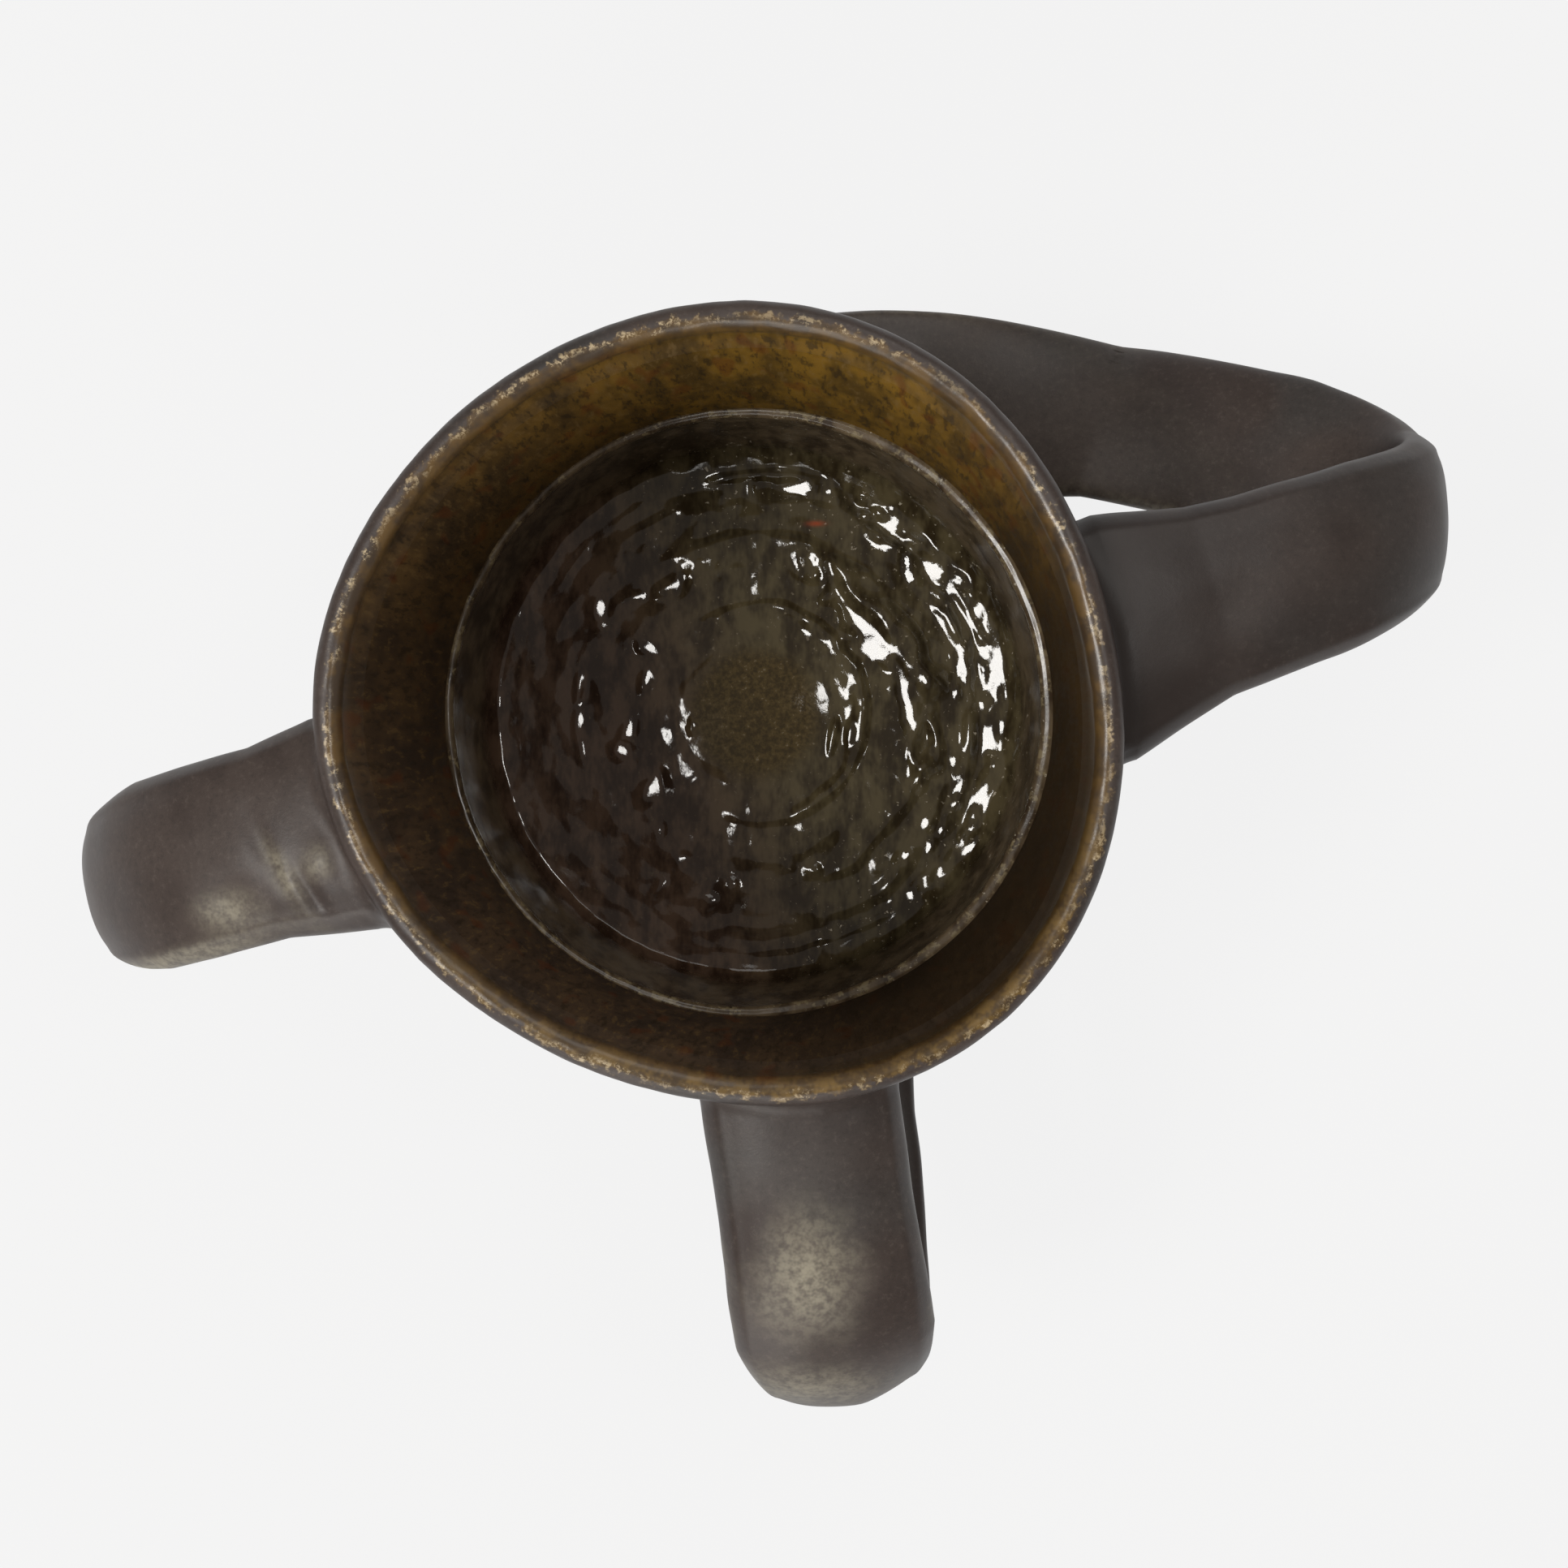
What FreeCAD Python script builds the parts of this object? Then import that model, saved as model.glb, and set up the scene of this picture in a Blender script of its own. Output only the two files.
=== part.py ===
import FreeCAD, Part

import math
import os

import Sketcher

# A hand-thrown stoneware mug with three pulled strap handles, in millimetres.
#
# The pot was thrown on a wheel, so its wall, floor and foot are turned forms, but its rim was drawn out of
# round when the handles went on: from above it is slightly oval and has three soft corners. Two handles are
# plain loops. The third and largest springs from under the lip, sweeps out and comes back low down, a sixth
# of a turn further round, so its strap twists on the way. Every handle grows out of the wall in a flared
# root. Clay joined with slip and fired is one piece, so the mug is one solid.
#
# +Z is up, the foot stands on z = 0 and the origin is on the axis of the pot. Azimuths are counted in
# degrees from +X towards +Y.

Vector = FreeCAD.Vector

POT_SIZES = (
    ("mug_height", 90.0, "foot to lip"),
    ("rim_radius", 44.5, "outside of the rim, mean round its warped turn"),
    ("rim_oval", 0.6, "how far the rim is drawn out to an oval"),
    ("rim_oval_azimuth", -31.4, "direction of the oval's long axis"),
    ("rim_corners", 1.17, "how far the rim's three soft corners stand out"),
    ("rim_corner_azimuth", -52.0, "direction of one of the corners"),
    ("lip_thickness", 3.4, "wall at the lip"),
    ("lip_round", 2.4, "rounding of both edges of the lip"),
    ("neck_radius", 44.2, "outside of the wall under the rim"),
    ("neck_drop", 17.0, "neck, under the lip"),
    ("belly_radius", 45.0, "outside of the wall at its widest turn"),
    ("belly_height", 36.0, "widest turn, above the foot"),
    ("heel_radius", 43.0, "outside of the wall at the top of the foot's bevel"),
    ("heel_height", 3.5, "height of the foot's bevel"),
    ("foot_radius", 40.0, "what the mug stands on, outside"),
    ("foot_breadth", 6.0, "breadth of the ring that it stands on"),
    ("foot_recess", 1.6, "depth of the trimmed recess inside that ring"),
    ("recess_draw", 1.0, "how far the recess narrows on its way up"),
    ("neck_wall", 3.9, "wall at the neck"),
    ("floor_height", 8.0, "inside floor, above the foot"),
    ("floor_wall", 5.6, "wall at the floor, in from the heel"),
    ("floor_round", 5.0, "rounding between floor and wall"),
    ("ledge_height", 28.0, "ledge where the straight wall ends, above the foot"),
    ("ledge_wall", 4.2, "wall at the ledge, in from the belly"),
    ("ledge_step", 0.6, "breadth of the ledge"),
    ("button_radius", 8.7, "swelling in the middle of the floor"),
    ("button_rise", 1.1, "height of the swelling"),
    ("button_flat", 2.0, "radius of the flat on top of the swelling"),
    ("first_turn_radius", 14.8, "innermost throwing ring on the floor"),
    ("turn_pitch", 7.2, "from one throwing ring to the next"),
    ("turn_bead", 3.0, "radius of a throwing ring's rounded back"),
    ("turn_rise", 0.55, "how far a throwing ring stands above the floor"),
)

STRAP_SIZES = (
    ("bend_drop", 32.0, "outermost bend of every handle, under the lip"),
    ("root_depth", 7.0, "where a handle's line starts, in from the outside of the wall"),
    ("strap_crown", 4.1, "outer face of a strap, above the line between its edges"),
    ("strap_belly", 2.4, "inner face of a strap, below that line"),
    ("root_crown", 6.6, "outer face where a strap grows out of the wall"),
    ("root_belly", 6.0, "inner face where a strap grows out of the wall"),
)

HANDLES = ("left", "front", "large")

# One value for each of the three handles. A swing is an angle round the pot's axis from the handle's bend.
HANDLE_SIZES = (
    ("azimuth", (195.8, -80.7, 18.2), "direction of the outermost bend"),
    ("reach", (34.1, 36.6, 39.6), "outermost bend, beyond the rim"),
    ("root_swing", (1.1, 1.6, -7.2), "swing of the upper root"),
    ("root_drop", (8.5, 9.2, 10.2), "upper root, under the lip"),
    ("foot_swing", (-0.7, 5.8, 67.0), "swing of the lower root"),
    ("foot_rise", (33.0, 33.0, 32.0), "lower root, above the foot of the mug"),
    ("leave_swing", (-1.8, -0.9, 1.6), "swing of the way out from the wall"),
    ("leave_climb", (10.0, 4.0, 0.0), "slope of that way, up from level"),
    ("fall_swing", (-8.4, 1.1, 115.2), "swing of the way down at the bend"),
    ("fall_slope", (85.1, 88.6, 60.6), "slope of that way, down from level"),
    ("arrive_swing", (-0.7, 3.2, -1.0), "swing of the way in to the wall"),
    ("root_pull", (58.7, 75.4, 63.4), "how far the strap runs on from its root"),
    ("bend_pull", (53.8, 59.2, 54.0), "how far it runs on round the bend"),
    ("foot_pull", (63.0, 75.3, 59.9), "how far it runs straight in to the wall"),
    ("root_turn", (1.3, 0.6, 2.0), "turn of the flat at the upper root"),
    ("bend_turn", (-5.3, -2.6, -20.0), "turn of the flat at the bend"),
    ("foot_turn", (-1.7, -1.3, -26.0), "turn of the flat at the lower root"),
    ("root_roll", (5.4, -2.0, 0.0), "tilt of the flat as far as the bend"),
    ("return_roll", (0.0, 0.0, -5.0), "tilt of the flat on the way back"),
    ("foot_roll", (0.0, 0.0, 20.0), "tilt of the flat at the lower root"),
    ("root_width", (27.8, 22.8, 33.0), "width at the upper root"),
    ("shoulder_width", (22.4, 22.6, 23.8), "width just clear of the wall"),
    ("strap_width", (22.1, 23.4, 19.9), "width on the way out"),
    ("bend_width", (18.2, 19.6, 15.5), "width at the bend"),
    ("fall_width", (18.9, 21.5, 20.0), "width under the bend"),
    ("return_width", (18.9, 19.5, 23.8), "width on the way back"),
    ("foot_width", (25.0, 22.3, 24.0), "width at the lower root"),
)

# Shares of a handle's line, from its upper root at 0 to its lower root at 1.
BEND_SHARE = 0.5
SHOULDER_SHARE = 0.14
STRAP_SHARE = 0.31
FALL_SHARE = 0.62
LEVEL_SHARE = 0.75
RETURN_SHARE = 0.87
SECTION_SHARES = (0.0, 0.07, 0.14, 0.23, 0.32, 0.41, 0.5, 0.59, 0.68, 0.77, 0.87, 0.93, 1.0)

TURN_COUNT = 3
TURN_POINTS = 16
SEAM_AZIMUTH = 140.0
SECTION_POINTS = 14
LIP_STEPS = 4
LIP_LEAN = 60.0
BELLY_WARP = 0.1
NECK_WARP = 0.85
OUTER_FULLNESS = 2.2
INNER_FULLNESS = 2.8
EDGE_FULLNESS = 2.4


def make_sheet(doc):
    """The sheet of driving dimensions: a row for each, with its name, value and meaning."""
    sheet = doc.addObject("Spreadsheet::Sheet", "Sizes")
    rows = list(POT_SIZES) + list(STRAP_SIZES)
    for name, values, note in HANDLE_SIZES:
        for handle, value in zip(HANDLES, values):
            rows.append((f"{handle}_{name}", value, f"{handle} handle: {note}"))
    for row, (name, value, note) in enumerate(rows, start=1):
        sheet.set(f"A{row}", name)
        sheet.set(f"B{row}", str(value))
        sheet.set(f"C{row}", note)
        sheet.setAlias(f"B{row}", name)
    doc.recompute()
    return sheet


def add(doc, kind, name, **bindings):
    """A new object whose named properties follow the sheet."""
    thing = doc.addObject(kind, name)
    for prop, rule in bindings.items():
        thing.setExpression(prop.replace("_", "."), rule)
    return thing


def raise_by(thing, rule):
    """Binds an object's height above the foot plane to the sheet."""
    thing.setExpression("Placement.Base.z", rule)
    return thing


def combine(doc, name, shapes):
    """Several solids as one."""
    joined = doc.addObject("Part::MultiFuse", name)
    joined.Shapes = shapes
    return joined


def subtract(doc, name, base, tool):
    """A solid with another taken out of it."""
    cut = doc.addObject("Part::Cut", name)
    cut.Base = base
    cut.Tool = tool
    return cut


def polar(radius, azimuth, height):
    """A point at a radius and azimuth from the pot's axis."""
    turn = math.radians(azimuth)
    return Vector(radius * math.cos(turn), radius * math.sin(turn), height)


def heading(azimuth, slope=0.0):
    """A unit vector along an azimuth that slopes up from level."""
    rise = math.radians(slope)
    return polar(math.cos(rise), azimuth, math.sin(rise))


def blend(share, stops):
    """The value at a share of the way, on straight lines between (share, value) stops."""
    for (start, first), (end, second) in zip(stops, stops[1:]):
        if share <= end:
            return first + (second - first) * (share - start) / (end - start)
    return stops[-1][1]


def closed_curve(points):
    """A smooth closed wire through points."""
    curve = Part.BSplineCurve()
    curve.interpolate(Points=points, PeriodicFlag=True)
    return Part.Wire([curve.toShape()])


def loft(doc, name, wires):
    """A smooth solid through closed wires, each kept as an object of its own."""
    sections = []
    for number, wire in enumerate(wires, start=1):
        section = doc.addObject("Part::Feature", f"{name}_section_{number}")
        section.Shape = wire
        sections.append(section)
    form = doc.addObject("Part::Loft", name)
    form.Sections = sections
    form.Solid = True
    form.Ruled = False
    return form


def rim_warp(sizes, azimuth):
    """How far the rim stands out of its mean circle at an azimuth."""
    oval = sizes.rim_oval * math.cos(math.radians(2 * (azimuth - sizes.rim_oval_azimuth)))
    corners = sizes.rim_corners * math.cos(math.radians(3 * (azimuth - sizes.rim_corner_azimuth)))
    return oval + corners


def wall_turn(sizes, radius, height, warp):
    """One turn of the wall as a wire, with that share of the rim's warp."""
    azimuths = [SEAM_AZIMUTH + 360.0 * step / TURN_POINTS for step in range(TURN_POINTS)]
    return closed_curve([polar(radius + warp * rim_warp(sizes, azimuth), azimuth, height)
                         for azimuth in azimuths])


def outside_radius(sizes, height, azimuth):
    """Radius of the outside at a height and azimuth."""
    neck_height = sizes.mug_height - sizes.neck_drop
    mean = blend(height, ((sizes.heel_height, sizes.heel_radius), (sizes.belly_height, sizes.belly_radius),
                          (neck_height, sizes.neck_radius), (sizes.mug_height, sizes.rim_radius)))
    warp = blend(height, ((sizes.heel_height, 0.0), (sizes.belly_height, BELLY_WARP),
                          (neck_height, NECK_WARP), (sizes.mug_height, 1.0)))
    return mean + warp * rim_warp(sizes, azimuth)


def lip_turns(sizes, radius, side, steps):
    """The turns of one rounded edge of the lip: side is 1 on the outside and -1 on the inside. After LIP_STEPS
    steps the edge has reached the top, leaning LIP_LEAN from upright."""
    turns = []
    for step in range(steps + 1):
        lean = math.radians(LIP_LEAN * step / LIP_STEPS)
        drawn_in = side * sizes.lip_round * (1 - math.cos(lean))
        height = sizes.mug_height - sizes.lip_round * (math.sin(math.radians(LIP_LEAN)) - math.sin(lean))
        turns.append(wall_turn(sizes, radius - drawn_in, height, 1.0))
    return turns


def make_outside(doc, sizes):
    """The pot as if it were solid: a bevelled foot, the belly, the neck and the rounded, warped rim."""
    neck_height = sizes.mug_height - sizes.neck_drop
    middle_height = (sizes.belly_height + neck_height) / 2
    middle_radius = (sizes.belly_radius + sizes.neck_radius) / 2
    heel = wall_turn(sizes, sizes.heel_radius, sizes.heel_height, 0.0)
    lip = lip_turns(sizes, sizes.rim_radius, 1, LIP_STEPS)
    wall = loft(doc, "outside_wall", [
        heel,
        wall_turn(sizes, sizes.belly_radius, sizes.belly_height, BELLY_WARP),
        wall_turn(sizes, middle_radius, middle_height, (BELLY_WARP + NECK_WARP) / 2),
        wall_turn(sizes, sizes.neck_radius, neck_height, NECK_WARP),
        lip[0],
    ])
    bevel = loft(doc, "foot_bevel", [wall_turn(sizes, sizes.foot_radius, 0.0, 0.0), heel])
    return combine(doc, "outside", [bevel, wall, loft(doc, "outer_lip", lip)])


def origin_part(body, role):
    """One of a body's own origin planes or axes."""
    return next(feature for feature in body.Origin.OriginFeatures if feature.Role == role)


def make_bowl(doc, sizes):
    """The room under the ledge, turned about the pot's axis, with its floor rounded into its wall."""
    body = doc.addObject("PartDesign::Body", "bowl")
    sketch = body.newObject("Sketcher::SketchObject", "bowl_profile")
    sketch.AttachmentSupport = [(origin_part(body, "XZ_Plane"), "")]
    sketch.MapMode = "FlatFace"
    floor_radius = sizes.heel_radius - sizes.floor_wall
    bowl_radius = sizes.belly_radius - sizes.ledge_wall - sizes.ledge_step
    # Half the bowl's section: along the floor, up the wall to the ledge, and back to the axis.
    corners = (
        (Vector(0, sizes.floor_height, 0), None, "Sizes.floor_height"),
        (Vector(floor_radius, sizes.floor_height, 0), "Sizes.heel_radius - Sizes.floor_wall",
         "Sizes.floor_height"),
        (Vector(bowl_radius, sizes.ledge_height, 0),
         "Sizes.belly_radius - Sizes.ledge_wall - Sizes.ledge_step", "Sizes.ledge_height"),
        (Vector(0, sizes.ledge_height, 0), None, "Sizes.ledge_height"),
    )
    places = [place for place, _, _ in corners]
    for start, end in zip(places, places[1:] + places[:1]):
        sketch.addGeometry(Part.LineSegment(start, end), False)
    for index in range(len(corners)):
        sketch.addConstraint(Sketcher.Constraint("Coincident", index, 2, (index + 1) % len(corners), 1))
    for index, (place, across, upward) in enumerate(corners):
        if across is None:
            sketch.addConstraint(Sketcher.Constraint("PointOnObject", index, 1, -2))
        else:
            number = sketch.addConstraint(Sketcher.Constraint("DistanceX", -1, 1, index, 1, place.x))
            sketch.setExpression(f"Constraints[{number}]", across)
        number = sketch.addConstraint(Sketcher.Constraint("DistanceY", -1, 1, index, 1, place.y))
        sketch.setExpression(f"Constraints[{number}]", upward)
    doc.recompute()
    turned = body.newObject("PartDesign::Revolution", "bowl_turned")
    turned.Profile = sketch
    turned.ReferenceAxis = (sketch, ["V_Axis"])
    turned.Angle = 360.0
    doc.recompute()
    floor_edges = [f"Edge{number}" for number, edge in enumerate(turned.Shape.Edges, start=1)
                   if edge.Closed and edge.BoundBox.ZMax < (sizes.floor_height + sizes.ledge_height) / 2]
    rounded = body.newObject("PartDesign::Fillet", "bowl_rounded")
    rounded.Base = (turned, floor_edges)
    rounded.setExpression("Radius", "Sizes.floor_round")
    body.Tip = rounded
    return body


def make_inside(doc, sizes):
    """The room inside the mug: the bowl, the straight wall above it and the mouth inside the lip."""
    neck_height = sizes.mug_height - sizes.neck_drop
    neck_inside = sizes.neck_radius - sizes.neck_wall
    ledge_inside = sizes.belly_radius - sizes.ledge_wall
    middle_height = (sizes.ledge_height + neck_height) / 2
    middle_radius = (ledge_inside + neck_inside) / 2
    # One step more carries the inner edge past the top, so that it cuts right through.
    lip = lip_turns(sizes, sizes.rim_radius - sizes.lip_thickness, -1, LIP_STEPS + 1)
    shaft = loft(doc, "straight_wall", [
        wall_turn(sizes, ledge_inside, sizes.ledge_height, BELLY_WARP),
        wall_turn(sizes, middle_radius, middle_height, (BELLY_WARP + NECK_WARP) / 2),
        wall_turn(sizes, neck_inside, neck_height, NECK_WARP),
        lip[0],
    ])
    return combine(doc, "inside", [make_bowl(doc, sizes), shaft, loft(doc, "inner_lip", lip)])


def make_foot_recess(doc):
    """The hollow that is turned out of the foot, so that it stands on a ring."""
    return add(doc, "Part::Cone", "foot_hollow",
               Radius1="Sizes.foot_radius - Sizes.foot_breadth",
               Radius2="Sizes.foot_radius - Sizes.foot_breadth - Sizes.recess_draw",
               Height="Sizes.foot_recess")


def make_floor_relief(doc):
    """What the potter's fingers left on the floor: a low button and rings round it."""
    curve = "(Sizes.button_radius ^ 2 + Sizes.button_rise ^ 2) / (2 * Sizes.button_rise)"
    button = add(doc, "Part::Sphere", "floor_button", Radius=curve,
                 Angle1=f"asin(1 - 2 * Sizes.button_rise / ({curve}))",
                 Angle2=f"acos(Sizes.button_flat / ({curve}))")
    relief = [raise_by(button, f"Sizes.floor_height + Sizes.button_rise - {curve}")]
    for number in range(TURN_COUNT):
        ring = add(doc, "Part::Torus", f"floor_ring_{number + 1}", Radius2="Sizes.turn_bead",
                   Radius1=f"Sizes.first_turn_radius + {number} * Sizes.turn_pitch")
        relief.append(raise_by(ring, "Sizes.floor_height + Sizes.turn_rise - Sizes.turn_bead"))
    return relief


class Handle:
    """One handle: the line that its strap follows, and the strap's flat, width and thickness along it."""

    def __init__(self, sizes, name):
        self.name = name
        size = {label: getattr(sizes, f"{name}_{label}") for label, _, _ in HANDLE_SIZES}
        azimuth = size["azimuth"]
        root = self.in_wall(sizes, azimuth + size["root_swing"], sizes.mug_height - size["root_drop"])
        bend = polar(sizes.rim_radius + size["reach"], azimuth, sizes.mug_height - sizes.bend_drop)
        foot = self.in_wall(sizes, azimuth + size["foot_swing"], size["foot_rise"])
        leave = heading(azimuth + size["leave_swing"], size["leave_climb"]) * size["root_pull"]
        fall = heading(azimuth + size["fall_swing"], -size["fall_slope"]) * size["bend_pull"]
        arrive = heading(azimuth + 180.0 + size["arrive_swing"]) * size["foot_pull"]
        self.spans = ((root, leave, bend, fall), (bend, fall, foot, arrive))
        across = azimuth + 90.0
        self.flat = ((0.0, across + size["root_turn"]), (BEND_SHARE, across + size["bend_turn"]),
                     (1.0, across + size["foot_turn"]))
        self.roll = ((0.0, size["root_roll"]), (BEND_SHARE, size["root_roll"]),
                     (LEVEL_SHARE, size["return_roll"]), (1.0, size["foot_roll"]))
        self.width = ((0.0, size["root_width"]), (SHOULDER_SHARE, size["shoulder_width"]),
                      (STRAP_SHARE, size["strap_width"]), (BEND_SHARE, size["bend_width"]),
                      (FALL_SHARE, size["fall_width"]), (RETURN_SHARE, size["return_width"]),
                      (1.0, size["foot_width"]))
        self.crown = self.face(sizes.root_crown, sizes.strap_crown)
        self.belly = self.face(sizes.root_belly, sizes.strap_belly)

    @staticmethod
    def in_wall(sizes, azimuth, height):
        """Where an end of the line lies, in from the outside of the wall."""
        return polar(outside_radius(sizes, height, azimuth) - sizes.root_depth, azimuth, height)

    @staticmethod
    def face(at_root, along_strap):
        """Stops for one face of the strap: full at both roots, thin between them."""
        return ((0.0, at_root), (SHOULDER_SHARE, along_strap), (RETURN_SHARE, along_strap), (1.0, at_root))

    def place(self, share):
        """The point of the line at a share of its way, and the direction of travel there."""
        upper = share <= BEND_SHARE
        start, leave, end, arrive = self.spans[0 if upper else 1]
        t = share / BEND_SHARE if upper else (share - BEND_SHARE) / (1.0 - BEND_SHARE)
        point = (start * (2 * t**3 - 3 * t**2 + 1) + leave * (t**3 - 2 * t**2 + t)
                 + end * (3 * t**2 - 2 * t**3) + arrive * (t**3 - t**2))
        travel = (start * (6 * t**2 - 6 * t) + leave * (3 * t**2 - 4 * t + 1)
                  + end * (6 * t - 6 * t**2) + arrive * (3 * t**2 - 2 * t))
        return point, travel.normalize()

    def section(self, share):
        """The strap's rounded flat section at a share of its way, as a wire."""
        point, travel = self.place(share)
        flat = heading(blend(share, self.flat), blend(share, self.roll))
        side = (flat - travel * flat.dot(travel)).normalize()
        outward = travel.cross(side)
        half_width = blend(share, self.width) / 2
        crown, belly = blend(share, self.crown), blend(share, self.belly)
        points = []
        for step in range(SECTION_POINTS):
            turn = 2 * math.pi * step / SECTION_POINTS
            along, up = math.cos(turn), math.sin(turn)
            face, fullness = (crown, OUTER_FULLNESS) if up > 0 else (belly, INNER_FULLNESS)
            x = half_width * math.copysign(abs(along) ** (2 / EDGE_FULLNESS), along)
            y = face * math.copysign(abs(up) ** (2 / fullness), up)
            points.append(point + side * x + outward * y)
        return closed_curve(points)


def make_strap(doc, sizes, name):
    """A pulled strap whose two ends run on into the pot."""
    handle = Handle(sizes, name)
    return loft(doc, f"{name}_strap", [handle.section(share) for share in SECTION_SHARES])


def check(doc):
    """Stops unless every object of the document was made."""
    for thing in doc.Objects:
        failed = {"Invalid", "Error"} & set(thing.State)
        if failed:
            raise RuntimeError(f"{thing.Name} is {', '.join(sorted(failed))}")


def main():
    doc = FreeCAD.newDocument("ThreeHandledMug")
    sizes = make_sheet(doc)
    # The straps are joined to the pot while it is still solid, so hollowing it smooths off their ends too.
    mug = make_outside(doc, sizes)
    for name in reversed(HANDLES):
        mug = combine(doc, f"pot_with_{name}_handle", [mug, make_strap(doc, sizes, name)])
    mug = subtract(doc, "hollow_mug", mug, make_inside(doc, sizes))
    mug = subtract(doc, "footed_mug", mug, make_foot_recess(doc))
    mug = combine(doc, "Mug", [mug] + make_floor_relief(doc))
    mug.Label = "mug"
    mug.Placement = FreeCAD.Placement(Vector(0, 0, 0), FreeCAD.Rotation(0, 0, 0))
    doc.recompute()
    check(doc)

    os.makedirs("parts", exist_ok=True)
    for part in (mug,):
        shape = part.Shape
        if shape.isNull() or not shape.isValid() or len(shape.Solids) != 1:
            raise RuntimeError(f"{part.Label} is not one valid solid")
        shape.exportStep(f"parts/{part.Label}.step")
        box = shape.BoundBox
        print(f"{part.Label}: {shape.Volume / 1000:.1f} cm3, {box.XLength:.1f} x {box.YLength:.1f} x "
              f"{box.ZLength:.1f} mm, {len(shape.Faces)} faces")


main()
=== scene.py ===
"""A hand-thrown mug with three pulled strap handles, seen from above. Lengths are worked out in millimetres."""

import bpy
import numpy as np
from mathutils import Matrix


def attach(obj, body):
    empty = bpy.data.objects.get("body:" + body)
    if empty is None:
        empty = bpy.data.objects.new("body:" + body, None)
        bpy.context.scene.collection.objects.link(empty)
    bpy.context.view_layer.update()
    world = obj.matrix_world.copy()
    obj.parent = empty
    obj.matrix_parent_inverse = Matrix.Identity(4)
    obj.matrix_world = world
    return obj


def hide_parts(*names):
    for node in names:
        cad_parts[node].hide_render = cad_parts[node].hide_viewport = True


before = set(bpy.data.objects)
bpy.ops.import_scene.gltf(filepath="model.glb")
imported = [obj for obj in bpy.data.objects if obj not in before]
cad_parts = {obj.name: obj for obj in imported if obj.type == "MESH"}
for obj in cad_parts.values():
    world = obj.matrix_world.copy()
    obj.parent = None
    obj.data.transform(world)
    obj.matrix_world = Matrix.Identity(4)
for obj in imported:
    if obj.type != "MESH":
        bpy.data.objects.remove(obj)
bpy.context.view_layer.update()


# ---- the outside of the pot ----
# Stoneware, thrown a little barrel-shaped and left bare and satin outside. The rim was drawn out of round when the
# handles were pushed on: an oval and three soft corners that die out towards the foot.

def lumps(p, size, seed):
    """Smooth random field of about -1 to 1 at points p: gradients on a lattice of the given size, blended by
    6t^5 - 15t^4 + 10t^3 along each axis."""
    rng = np.random.default_rng(seed)
    order = rng.permutation(256)
    slopes = rng.normal(size=(256, 3))
    slopes /= np.linalg.norm(slopes, axis=1)[:, None]
    q = np.asarray(p, float) / size + 100.0
    cell = np.floor(q).astype(int)
    f = q - cell
    t = f ** 3 * (f * (f * 6 - 15) + 10)
    total = np.zeros(q.shape[:-1])
    for corner in np.ndindex(2, 2, 2):
        k = np.array(corner)
        i = cell + k
        h = order[(order[(order[i[..., 0] % 256] + i[..., 1]) % 256] + i[..., 2]) % 256]
        weight = np.prod(np.where(k == 1, t, 1 - t), axis=-1)
        total += weight * np.sum(slopes[h] * (f - k), axis=-1)
    return total * 1.5


def step(a, b, x):
    """Smooth rise from 0 at a to 1 at b: 3t^2 - 2t^3."""
    t = np.clip((x - a) / (b - a), 0, 1)
    return t * t * (3 - 2 * t)


def rim_warp(azimuth):
    """How far the rim leaves its mean circle: 0.6 cos 2(a + 31.4) + 1.17 cos 3(a + 52), in degrees."""
    return 0.6 * np.cos(2 * (azimuth + np.radians(31.4))) + 1.17 * np.cos(3 * (azimuth + np.radians(52.0)))


# The heights of the sections that the solid's outside is lofted through.
SECTION_HEIGHTS = [3.5, 36, 73, 90]


def warp_share(height):
    """Share of the rim's warp at a height."""
    return np.interp(height, SECTION_HEIGHTS, [0, 0.1, 0.85, 1.0])


def outside(azimuth, height):
    """Radius of the outside: a smooth barrel plus the warp, faint throwing lines and hand lumps."""
    barrel = np.interp(height, [0, 3.5, 10, 20, 36, 50, 62, 73, 82, 90],
                       [40, 43, 43.5, 44.2, 45, 44.9, 44.5, 44.2, 44.3, 44.5])
    p = np.stack([44 * np.cos(azimuth), 44 * np.sin(azimuth), height + 0 * azimuth], -1)
    hand = 0.18 * lumps(p, 22.0, 3) + 0.06 * lumps(p * [1, 1, 3.5], 9.0, 4)
    return barrel + warp_share(height) * rim_warp(azimuth) + hand * step(0, 8, height)


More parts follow.
